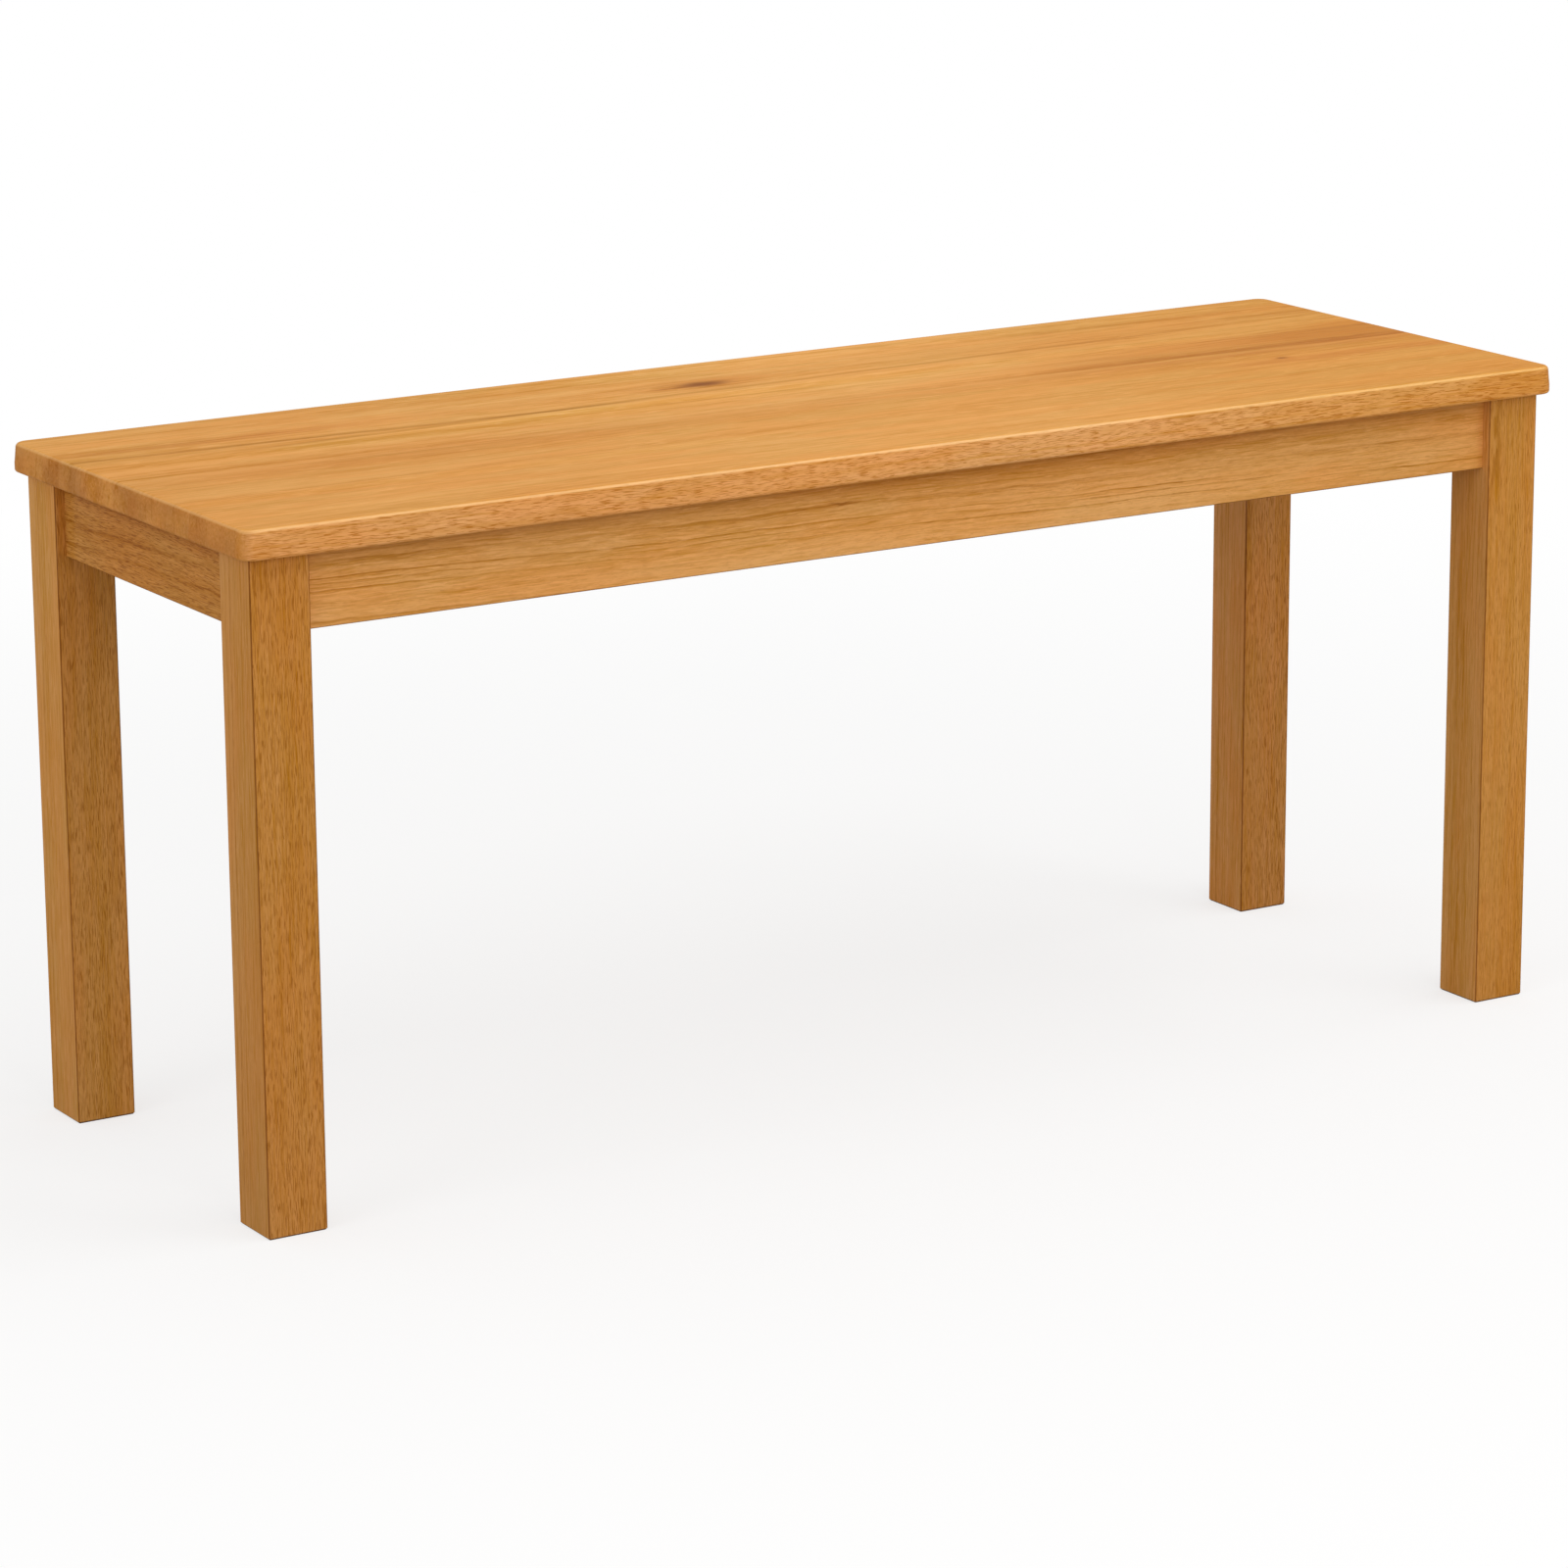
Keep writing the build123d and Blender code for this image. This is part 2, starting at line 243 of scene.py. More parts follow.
def look_at_heart(recipe, given, outwards):
    """One on a face that looks at the heart, and nought on a face beside it."""
    flat = recipe.maths("ABSOLUTE", recipe.vectors("DOT_PRODUCT", given["Facing"], outwards, out="Value"))
    return recipe.ease(flat, 0.35, 0.9)


def cut_rays(recipe, given, bent, ring_radius, flat):
    """Rays run out from the heart like thin blades, and are dark dashes on a face that looks at it."""
    heart_way = recipe.vectors("NORMALIZE", recipe.vectors("MULTIPLY", given["Heart"], (0, 1, 1)))
    beside = recipe.parts_of(recipe.vectors("CROSS_PRODUCT", bent, heart_way))[0]
    bent_along = recipe.parts_of(bent)[0]
    blade = recipe.add("ShaderNodeCombineXYZ", bent_along, beside, ring_radius)
    rays = recipe.ease(recipe.noise(blade, *wood_noises["rays"]), 0.54, 0.61)
    return recipe.maths("MULTIPLY", recipe.maths("MULTIPLY", rays, flat), given["Rays"])


def stain_fibres(recipe, given, bent, flat, early):
    """The stain as flecks, slow bands, fine fibres, long threads and early wood take it."""
    finer = recipe.maths("DIVIDE", 1.0, given["Coarseness"])
    coarse = recipe.vectors("MULTIPLY", bent, recipe.add("ShaderNodeCombineXYZ", 1.0, finer, finer))
    flecks = recipe.ease(recipe.noise(coarse, *wood_noises["flecks"]), 0.60, 0.72)
    flecks = recipe.maths("MULTIPLY", flecks, recipe.maths("SUBTRACT", 1.0, flat))
    bands = recipe.noise(bent, *wood_noises["bands"], detail=2.0)
    bands = recipe.maths("MULTIPLY", recipe.maths("SUBTRACT", bands, 0.5), given["Bands"])
    fibres = recipe.noise(coarse, *wood_noises["fibres"], detail=3.0)
    threads = recipe.ease(recipe.noise(coarse, *wood_noises["threads"]), 0.57, 0.67)
    warmth = recipe.ease(recipe.noise(bent, *wood_noises["warmth"], detail=2.0), 0.36, 0.64)
    tone = recipe.maths("MULTIPLY_ADD", bands, band_tone, plain_tone)
    grain = recipe.maths("MULTIPLY", recipe.maths("SUBTRACT", fibres, 0.5), given["Fibres"])
    tone = recipe.maths("MULTIPLY_ADD", grain, fibre_tone, tone)
    tone = recipe.maths("MULTIPLY_ADD", recipe.maths("MULTIPLY", early, given["Figure"]), early_tone, tone)
    tone = recipe.maths("MULTIPLY_ADD", threads, thread_tone, tone)
    tone = recipe.maths("MULTIPLY_ADD", flecks, fleck_tone, tone)
    return recipe.mix(tone, given["Pale"], given["Deep"]), fibres, warmth


def darken_marks(recipe, given, colour, marks):
    """The pores' own colour, in each mark by its strength."""
    for mark, strength in marks:
        colour = recipe.mix(recipe.maths("MULTIPLY", mark, strength), colour, given["Pore"])
    return colour


def soak_end_grain(recipe, own_place, endways, colour):
    """End grain drinks more stain, here more and there less."""
    end_grain = recipe.ease(endways, 0.25, 0.98)
    thirst = recipe.ease(recipe.noise(own_place, *wood_noises["thirst"], detail=3.0), 0.36, 0.64)
    soaked = recipe.mix(thirst, dry_end_grain, soaked_end_grain)
    return end_grain, recipe.mix(end_grain, colour, soaked, "MULTIPLY")


def paint_arris_highlight_and_shade(recipe, given, endways, colour):
    """Arrises that look up get a painted highlight, and the other arrises a painted shade."""
    sizes = recipe.parts_of(recipe.vectors("ABSOLUTE", given["Normal"]))
    largest = recipe.maths("MAXIMUM", recipe.maths("MAXIMUM", sizes[0], sizes[1]), sizes[2])
    arris = recipe.ease(recipe.maths("SUBTRACT", 1.0, largest), 0.03, 0.20)
    upwards = recipe.ease(recipe.parts_of(given["Normal"])[2], 0.05, 0.45)
    # The painted highlight, on arrises that look up, weaker on end grain
    painted_highlight = recipe.maths("MULTIPLY", recipe.maths("MULTIPLY", arris, upwards), 0.62)
    painted_highlight = recipe.maths("MULTIPLY", painted_highlight, recipe.ease(endways, 0.05, 0.40, 1.0, 0.45))
    # Painted shade on the arrises that don't look up, as strong as the Arris Shade input
    painted_arris_shade = recipe.maths("MULTIPLY", arris, recipe.maths("SUBTRACT", 1.0, upwards))
    painted_arris_shade = recipe.maths("MULTIPLY", painted_arris_shade, given["Arris Shade"])
    colour = recipe.mix(painted_arris_shade, colour, shaded_arris, "MULTIPLY")
    return painted_highlight, recipe.mix(painted_highlight, colour, given["Painted Highlight"])


# What a stick's figure is given, and what it is without that
figure_inputs = (
    ("Place", "NodeSocketVector", (0, 0, 0)),
    ("Facing", "NodeSocketVector", (0, 0, 1)),
    ("Normal", "NodeSocketVector", (0, 0, 1)),
    ("Heart", "NodeSocketVector", (0, 0.2, 0)),
    ("Lean", "NodeSocketVector", (0, 0, 0)),
    ("Ring Width", "NodeSocketFloat", 0.004),
    ("Wander", "NodeSocketFloat", 0.01),
    ("Figure", "NodeSocketFloat", 1.0),
    ("Bands", "NodeSocketFloat", 1.0),
    ("Pores", "NodeSocketFloat", 1.0),
    ("Rays", "NodeSocketFloat", 1.0),
    ("Lines", "NodeSocketFloat", 1.0),
    ("Fibres", "NodeSocketFloat", 1.0),
    ("Coarseness", "NodeSocketFloat", 1.0),
    ("Arris Shade", "NodeSocketFloat", 1.0),
    ("Start", "NodeSocketFloat", 0.0),
    ("Pale", "NodeSocketColor", (0.7, 0.35, 0.1, 1)),
    ("Deep", "NodeSocketColor", (0.55, 0.24, 0.05, 1)),
    ("Pore", "NodeSocketColor", (0.3, 0.1, 0.02, 1)),
    ("Painted Highlight", "NodeSocketColor", (0.8, 0.5, 0.2, 1)),
    ("Quartered And Painted Light", "NodeSocketColor", (1, 1, 1, 1)),
)


def make_oak_figure():
    """The figure inside a stick of oak, worked out from the tree: rings about its heart, pores, rays."""
    tree = bpy.data.node_groups.new("oak figure", "ShaderNodeTree")
    for name, kind, value in figure_inputs:
        socket = tree.interface.new_socket(name, in_out="INPUT", socket_type=kind)
        socket.default_value = value
    tree.interface.new_socket("Colour", in_out="OUTPUT", socket_type="NodeSocketColor")
    tree.interface.new_socket("Roughness", in_out="OUTPUT", socket_type="NodeSocketFloat")
    tree.interface.new_socket("Height", in_out="OUTPUT", socket_type="NodeSocketFloat")
    recipe = Recipe(tree)
    given = tree.nodes.new("NodeGroupInput").outputs
    result = tree.nodes.new("NodeGroupOutput").inputs

    # The tree's own marks
    own_place, bent, from_heart = bend_grain(recipe, given)
    ring_radius = recipe.vectors("LENGTH", from_heart, out="Value")
    outwards = recipe.vectors("NORMALIZE", from_heart)
    early, lines = grow_rings(recipe, given, own_place, ring_radius)
    pores = open_pores(recipe, given, bent, early)
    flat = look_at_heart(recipe, given, outwards)
    dashes = cut_rays(recipe, given, bent, ring_radius, flat)

    # The stain, and painted highlight and shade on the arrises
    colour, fibres, warmth = stain_fibres(recipe, given, bent, flat, early)
    marks = ((lines, line_strength), (pores, pore_strength), (dashes, dash_strength))
    colour = darken_marks(recipe, given, colour, marks)
    colour = recipe.mix(1.0, colour, recipe.mix(warmth, cooler, warmer), "MULTIPLY")
    # Faces beside the heart take the quartered tint, which is partly painted light
    colour = recipe.mix(recipe.maths("SUBTRACT", 1.0, flat), colour, given["Quartered And Painted Light"], "MULTIPLY")
    endways = recipe.maths("ABSOLUTE", recipe.parts_of(given["Facing"])[0])
    end_grain, colour = soak_end_grain(recipe, own_place, endways, colour)
    painted_highlight, colour = paint_arris_highlight_and_shade(recipe, given, endways, colour)
    recipe.fill(result["Colour"], colour)

    # The lacquer is thin, so pores show in it and late wood shines a little more
    roughness = recipe.maths("MULTIPLY_ADD", pores, 0.22, 0.40)
    roughness = recipe.maths("MULTIPLY_ADD", early, 0.05, roughness)
    roughness = recipe.maths("MULTIPLY_ADD", painted_highlight, -0.10, roughness)
    recipe.fill(result["Roughness"], recipe.maths("MULTIPLY_ADD", end_grain, 0.08, roughness))
    sunk = recipe.maths("MAXIMUM", pores, recipe.maths("MULTIPLY", dashes, 0.5))
    height = recipe.maths("MULTIPLY_ADD", sunk, -1.0, recipe.maths("MULTIPLY", fibres, 0.25))
    recipe.fill(result["Height"], height)
    return tree


oak_figure = make_oak_figure()


def make_wood(name, turn, middle, figure, stain, marks=None, coat=lacquer):
    """A material for one stick. Its place and facing are read in the stick's own axes."""
    material = bpy.data.materials.new(name)
    material.use_nodes = True
    tree = material.node_tree
    tree.nodes.clear()
    recipe = Recipe(tree)
    sources = tree.nodes.new("ShaderNodeTexCoord").outputs
    place = recipe.vectors("SUBTRACT", sources["Object"], middle)
    turned = dict(rotation_type="EULER_XYZ", invert=True)
    place = recipe.add("ShaderNodeVectorRotate", place, None, None, None, turn, **turned)
    facing = recipe.add("ShaderNodeVectorRotate", sources["Normal"], None, None, None, turn, **turned)
    group = tree.nodes.new("ShaderNodeGroup")
    group.node_tree = oak_figure
    for key, value in {**stain, **figure}.items():
        recipe.fill(group.inputs[key], value)
    recipe.fill(group.inputs["Facing"], facing)
    recipe.fill(group.inputs["Normal"], sources["Normal"])
    colour = group.outputs["Colour"]
    if marks:
        place, colour = marks(recipe, sources["Object"], place, colour)
    recipe.fill(group.inputs["Place"], place)
    bump = tree.nodes.new("ShaderNodeBump")
    bump.inputs["Strength"].default_value = 1.0
    bump.inputs["Distance"].default_value = pore_depth
    recipe.fill(bump.inputs["Height"], group.outputs["Height"])
    shader = tree.nodes.new("ShaderNodeBsdfPrincipled")
    recipe.fill(shader.inputs["Base Color"], colour)
    recipe.fill(shader.inputs["Roughness"], group.outputs["Roughness"])
    recipe.fill(shader.inputs["Normal"], bump.outputs["Normal"])
    shader.inputs["Specular IOR Level"].default_value = 0.0
    shader.inputs["Coat Weight"].default_value = coat
    shader.inputs["Coat Roughness"].default_value = lacquer_roughness
    tree.links.new(shader.outputs[0], tree.nodes.new("ShaderNodeOutputMaterial").inputs[0])
    return material


def toned(stain, red, green, blue):
    """The same stain on a stick that takes it darker, paler or redder."""
    return {key: (tint[0] * red, tint[1] * green, tint[2] * blue, 1) for key, tint in stain.items()}


def middle_of(node):
    low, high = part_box(node)
    return (Vector(low) + Vector(high)) / 2


def finish(node, turn, figure, stain, **wood_settings):
    """Gives a carried-over piece the material of its own stick."""
    turn = grain_turns[turn]
    wood = make_wood(f"{node} wood", turn, middle_of(node), figure, stain, **wood_settings)
    for slot in nodes[node].material_slots:
        slot.material = wood


# Marks that the tree left in single sticks. A mark goes through its stick, so one of its sizes is large.
through = 1.0
seat_top = 0.45
in_board = 0.44
knot_place = (-0.022, 0.0955, in_board)


def from_middle(recipe, place, middle, size):
    """How far a place is from the middle of a lens-shaped mark: one at the mark's edge."""
    away = recipe.vectors("DIVIDE", recipe.vectors("SUBTRACT", place, middle), size)
    return recipe.vectors("LENGTH", away, out="Value")


def add_knot(recipe, place, colour, middle, size, strength):
    """A small dark knot, ragged along the grain, in a halo of deeper wood."""
    ragged = recipe.noise(place, (0.012, 0.0016, 0.0016), 4.4, out="Color")
    ragged = recipe.stretch(recipe.vectors("SUBTRACT", ragged, (0.5, 0.5, 0.5)), 0.005)
    distance = from_middle(recipe, recipe.vectors("ADD", place, ragged), middle, size)
    halo = recipe.ease(distance, 0.8, 3.0, 0.45 * strength, 0.0)
    colour = recipe.mix(halo, colour, recipe.mix(1.0, colour, knot_halo, "MULTIPLY"))
    core = recipe.ease(distance, 0.15, 1.25, strength, 0.0)
    return recipe.mix(core, colour, knot_core)


def add_vein(recipe, place, colour, start, end, width, strength):
    """A dark line in a board's top, from a start to an end, fading out at both."""
    run = Vector(end) - Vector(start)
    way = run.normalized()
    wobble = recipe.noise(place, (0.11, through, through), 6.1)
    wobble = recipe.maths("MULTIPLY", recipe.maths("SUBTRACT", wobble, 0.5), 0.005)
    away = recipe.vectors("SUBTRACT", place, tuple(start))
    passed = recipe.vectors("DOT_PRODUCT", away, tuple(way), out="Value")
    passed = recipe.maths("DIVIDE", passed, run.length)
    aside = recipe.vectors("DOT_PRODUCT", away, (-way.y, way.x, 0), out="Value")
    aside = recipe.maths("ABSOLUTE", recipe.maths("ADD", aside, wobble))
    line = recipe.ease(aside, width * 0.2, width, strength, 0.0)
    line = recipe.maths("MULTIPLY", line, recipe.ease(passed, 0.0, 0.15))
    line = recipe.maths("MULTIPLY", line, recipe.ease(passed, 0.75, 1.0, 1.0, 0.0))
    height = recipe.parts_of(place)[2]
    line = recipe.maths("MULTIPLY", line, recipe.ease(height, seat_top - 0.0012, seat_top - 0.0001))
    return recipe.mix(line, colour, vein_tint, "MULTIPLY")


def add_stains(recipe, place, colour, *stains):
    """Soft streaky patches, each given by its middle, half its length and width, and its tint."""
    for x, y, half_length, half_width, tint in stains:
        distance = from_middle(recipe, place, (x, y, in_board), (half_length, half_width, through))
        streaks = recipe.noise(place, (0.16, 0.0045, through), 3.7, detail=2.0)
        distance = recipe.maths("ADD", distance, recipe.maths("MULTIPLY_ADD", streaks, 0.9, -0.45))
        patch = recipe.ease(distance, 0.55, 1.1, 1.0, 0.0)
        colour = recipe.mix(patch, colour, recipe.mix(1.0, colour, (*tint, 1), "MULTIPLY"))
    return colour


# How the seat's colour differs: a painted sheen in its middle, and tints at its back, at its right and at
# its very right end
seat_middle_painted_sheen = (1.03, 1.06, 1.11, 1)
seat_back_tint = (1.03, 1.06, 1.09, 1)
seat_right_tint = (0.965, 0.955, 0.81, 1)
seat_end_tint = (0.985, 0.965, 0.88, 1)


def add_seat_tones(recipe, bench_place, colour):
    """A painted sheen makes the seat paler in the middle; it is also paler at the back, and deeper at its
    right end.
    """
    along, across = recipe.parts_of(bench_place)[:2]
    # The paleness in the middle is a painted sheen
    from_left = recipe.ease(along, -0.32, -0.08)
    pale = recipe.maths("MULTIPLY", from_left, recipe.ease(along, 0.08, 0.30, 1.0, 0.0))
    colour = recipe.mix(pale, colour, seat_middle_painted_sheen, "MULTIPLY")
    to_right = recipe.ease(along, 0.05, 0.30, 1.0, 0.0)
    at_back = recipe.maths("MULTIPLY", recipe.ease(across, 0.0, 0.07), to_right)
    colour = recipe.mix(at_back, colour, seat_back_tint, "MULTIPLY")
    colour = recipe.mix(recipe.ease(along, 0.10, 0.34), colour, seat_right_tint, "MULTIPLY")
    return recipe.mix(recipe.ease(along, 0.40, 0.48), colour, seat_end_tint, "MULTIPLY")


def mark_back_board(recipe, bench_place, place, colour):
    """Deeper at its left end, and paler to the right."""
    colour = add_seat_tones(recipe, bench_place, colour)
    deeper = (-0.42, 0.145, 0.24, 0.030, (0.97, 0.94, 0.86))
    paler = (0.15, 0.150, 0.42, 0.018, (1.05, 1.09, 1.16))
    return place, add_stains(recipe, bench_place, colour, deeper, paler)


def mark_middle_back_board(recipe, bench_place, place, colour):
    """A knot with the grain bowing round it, dark veins beside it, and deeper and paler patches.

    The second group of patches is in the end grain at the left.
    """
    away = recipe.vectors("SUBTRACT", bench_place, knot_place)
    distance = from_middle(recipe, bench_place, knot_place, (0.085, 0.026, through))
    near = recipe.ease(distance, 0.0, 1.0, 0.55, 0.0)
    bowed = recipe.vectors("MULTIPLY", away, (0, -1, 0))
    place = recipe.vectors("ADD", place, recipe.stretch(bowed, near))
    colour = add_seat_tones(recipe, bench_place, colour)
    colour = add_stains(
        recipe, bench_place, colour,
        (0.44, 0.016, 0.30, 0.034, (0.90, 0.80, 0.65)),
        (0.50, 0.020, 0.15, 0.045, (0.885, 0.80, 0.53)),
        (-0.40, 0.097, 0.16, 0.007, (0.94, 0.88, 0.80)),
        (0.00, 0.104, 0.70, 0.012, (0.96, 0.92, 0.85)),
        (0.05, 0.056, 0.40, 0.012, (1.06, 1.09, 1.16)),
        (-0.16, 0.047, 0.40, 0.020, (1.06, 1.09, 1.13)),
        (0.00, -0.004, 0.70, 0.011, (0.95, 0.91, 0.85)),
    )
    colour = add_stains(
        recipe, bench_place, colour,
        (-0.5, 0.105, 0.002, 0.013, (0.93, 0.89, 0.83)),
        (-0.5, 0.065, 0.002, 0.018, (0.91, 0.88, 0.90)),
        (-0.5, 0.033, 0.002, 0.020, (1.06, 1.09, 1.04)),
    )
    colour = add_vein(recipe, bench_place, colour, (-0.60, 0.0820, 0), (-0.02, 0.0622, 0), 0.0046, 0.62)
    colour = add_vein(recipe, bench_place, colour, (-0.45, 0.054, 0), (0.45, 0.0915, 0), 0.0046, 0.60)
    colour = add_vein(recipe, bench_place, colour, (-0.10, 0.046, 0), (0.06, 0.044, 0), 0.0030, 0.35)
    colour = add_knot(recipe, bench_place, colour, knot_place, (0.024, 0.0105, through), 0.93)
    streak_place = (-0.047, 0.0925, in_board)
    return place, add_knot(recipe, bench_place, colour, streak_place, (0.018, 0.0020, through), 0.45)


def mark_middle_front_board(recipe, bench_place, place, colour):
    """A pin knot near the right end, in a deeper streak."""
    colour = add_seat_tones(recipe, bench_place, colour)
    colour = add_stains(
        recipe, bench_place, colour,
        (0.44, -0.050, 0.16, 0.012, (0.93, 0.85, 0.76)),
        (0.00, -0.015, 0.70, 0.013, (0.95, 0.91, 0.84)),
        (0.36, -0.009, 0.24, 0.011, (0.92, 0.87, 0.80)),
        (-0.30, -0.083, 0.30, 0.010, (1.05, 1.07, 1.09)),
    )
    pin_place = (0.362, -0.041, in_board)
    return place, add_knot(recipe, bench_place, colour, pin_place, (0.0050, 0.0032, through), 0.8)


def mark_front_board(recipe, bench_place, place, colour):
    """A pin knot in the front edge, which is paler to the right, and a few pale streaks on the top."""
    colour = add_seat_tones(recipe, bench_place, colour)
    pale = (1.07, 1.12, 1.25)
    colour = add_stains(
        recipe, bench_place, colour,
        (0.105, -0.104, 0.034, 0.0045, pale),
        (-0.41, -0.135, 0.08, 0.005, pale),
        (-0.37, -0.104, 0.06, 0.003, pale),
        (-0.19, -0.137, 0.05, 0.004, pale),
        (0.15, -0.146, 0.06, 0.003, pale),
        (0.34, -0.140, 0.04, 0.003, pale),
        (0.42, -0.172, 0.30, 0.006, (1.04, 1.07, 1.12)),
    )
    pin_place = (-0.212, -0.17, 0.4435)
    return place, add_knot(recipe, bench_place, colour, pin_place, (0.0028, through, 0.0013), 0.6)


def add_shade(recipe, bench_place, colour):
    """Painted shade at the top of an apron, close under the seat."""
    height = recipe.parts_of(bench_place)[2]
    near_seat = recipe.ease(height, seat_top - 0.035, seat_top - 0.022)
    return recipe.mix(near_seat, colour, shade_under_seat, "MULTIPLY")


def mark_apron(recipe, bench_place, place, colour):
    # Painted shade along its top, under the seat
    return place, add_shade(recipe, bench_place, colour)


def mark_front_apron(recipe, bench_place, place, colour):
    """A ragged small knot near the middle, under the seat. Paler in the middle, deeper to the right."""
    # Painted shade along its top, under the seat
    colour = add_shade(recipe, bench_place, colour)
    paler = (-0.02, -0.15, 0.24, 0.05, (1.02, 1.04, 1.06))
    deeper = (0.42, -0.15, 0.24, 0.05, (0.99, 0.97, 0.90))
    colour = add_stains(recipe, bench_place, colour, paler, deeper)
    knot = (0.011, through, 0.0010)
    tail = (0.017, through, 0.0007)
    colour = add_knot(recipe, bench_place, colour, (-0.068, -0.12, 0.4155), knot, 0.65)
    return place, add_knot(recipe, bench_place, colour, (-0.092, -0.12, 0.4150), tail, 0.35)


# The seat boards are cut beside the heart, so their tops show straight lines and their edges dashes
seat_figures = {
    "seat_board_back": {
        "Heart": (0, 0.20, 0.03), "Lean": (0, 0.010, 0), "Ring Width": 0.0062, "Start": 1.7,
        "Figure": 0.5, "Bands": 1.6,
    },
    "seat_board_middle_back": {
        "Heart": (0, 0.24, 0.02), "Lean": (0, 0.016, 0), "Ring Width": 0.0070, "Start": 2.9,
        "Figure": 0.5, "Bands": 1.7,
    },
    "seat_board_middle_front": {
        "Heart": (0, -0.22, 0.03), "Lean": (0, -0.008, 0), "Ring Width": 0.0058, "Start": 4.1,
        "Figure": 0.3, "Bands": 0.7, "Fibres": 0.65,
    },
    "seat_board_front": {
        "Heart": (0, 0.19, -0.02), "Lean": (0, 0.008, 0), "Ring Width": 0.0050, "Start": 5.3,
        "Figure": 0.15, "Bands": 0.6, "Fibres": 0.75,
    },
}
seat_marks = {
    "seat_board_back": mark_back_board,
    "seat_board_middle_back": mark_middle_back_board,
    "seat_board_middle_front": mark_middle_front_board,
    "seat_board_front": mark_front_board,
}
for board, figure in seat_figures.items():
    figure = {**figure, "Pores": 0.35, "Lines": 0.35, "Coarseness": 1.8, "Arris Shade": 0.0}
    finish(board, "along the bench", figure, seat_stain, marks=seat_marks[board])

for number, side in enumerate(("front", "back")):
    figure = {"Heart": (0, 0.05, 0.16), "Lean": (0, 0, 0.014), "Ring Width": 0.0060, "Start": 7.1 + number}
    marks = mark_front_apron if side == "front" else mark_apron
    finish(f"apron_{side}", "along the bench", figure, apron_stain, marks=marks)
for number, end in enumerate(("left", "right")):
    figure = {"Heart": (0, 0.16, 0.08), "Lean": (0, 0, 0.02), "Ring Width": 0.0050, "Start": 9.4 + number}
    figure.update({"Figure": 0.8, "Bands": 1.7, "Rays": 0.9, "Lines": 0.9})
    stain = toned(apron_stain, 0.78, 0.70, 0.49)
    finish(f"apron_{end}", "across the bench", figure, stain, marks=mark_apron)

# Each leg's tone, on the back left leg partly painted light, how strong its dashes are, and how its two side
# faces differ from the others, partly as painted light that makes them paler and bluer
legs = {
    "front_left": ((1.01, 1.01, 1.01), 0.9, (0.99, 1.03, 1.14, 1)),
    "front_right": ((1.05, 1.06, 0.95), 0.6, (1.07, 1.12, 1.38, 1)),
    "back_left": ((1.05, 1.08, 1.08), 0.9, (1.07, 1.13, 1.35, 1)),
    "back_right": ((1.03, 1.02, 1.18), 0.9, (1.20, 1.24, 1.40, 1)),
}
for number, (leg, (tone, rays, side_faces_tint_and_light)) in enumerate(legs.items()):
    figure = {"Heart": (0, 0.14, 0.03), "Lean": (0, 0.01, 0.01), "Ring Width": 0.0045, "Wander": 0.006}
    figure.update({"Start": 12.3 + number, "Figure": 0.45, "Rays": rays, "Pores": 0.7, "Lines": 0.7})
    stain = toned(leg_stain, *tone)
    stain["Quartered And Painted Light"] = side_faces_tint_and_light
    finish(f"leg_{leg}", "upright", figure, stain)

corner_turns = {
    "front_left": "across a front left or back right corner",
    "front_right": "across a front right or back left corner",
    "back_left": "across a front right or back left corner",
    "back_right": "across a front left or back right corner",
}
for number, (corner, turn) in enumerate(corner_turns.items()):
    finish(f"corner_block_{corner}", turn, {"Start": 3.0 + number, "Arris Shade": 0.0}, bare_wood, coat=0.0)
buttons = sorted(name for name in nodes if name.startswith("seat_button"))
for number, button in enumerate(buttons):
    turn = "along the bench" if "left" in button or "right" in button else "across the bench"
    finish(button, turn, {"Start": 5.0 + number, "Arris Shade": 0.0}, bare_wood, coat=0.0)


# The screws' plate where it is bright, and where it is cloudy
yellow_zinc = (0.80, 0.64, 0.33, 1)
cloudy_zinc = (0.72, 0.62, 0.46, 1)


def make_screw_finish():
    """Yellow zinc plate over steel, a little cloudy."""
    material = bpy.data.materials.new("yellow zinc plate")
    material.use_nodes = True
    tree = material.node_tree
    tree.nodes.clear()
    recipe = Recipe(tree)
    place = tree.nodes.new("ShaderNodeTexCoord").outputs["Object"]
    clouds = recipe.noise(place, (0.0035, 0.0035, 0.0035), 1.9, detail=3.0)
    colour = recipe.mix(recipe.ease(clouds, 0.35, 0.65), yellow_zinc, cloudy_zinc)
    grains = recipe.noise(place, (0.00025, 0.00025, 0.00025), 0.7, detail=2.0)
    bump = tree.nodes.new("ShaderNodeBump")
    bump.inputs["Distance"].default_value = 0.00001
    recipe.fill(bump.inputs["Height"], grains)
    shader = tree.nodes.new("ShaderNodeBsdfPrincipled")
    recipe.fill(shader.inputs["Base Color"], colour)
    shader.inputs["Metallic"].default_value = 1.0
    recipe.fill(shader.inputs["Roughness"], recipe.maths("MULTIPLY_ADD", clouds, 0.25, 0.22))
    recipe.fill(shader.inputs["Normal"], bump.outputs["Normal"])
    tree.links.new(shader.outputs[0], tree.nodes.new("ShaderNodeOutputMaterial").inputs[0])
    return material


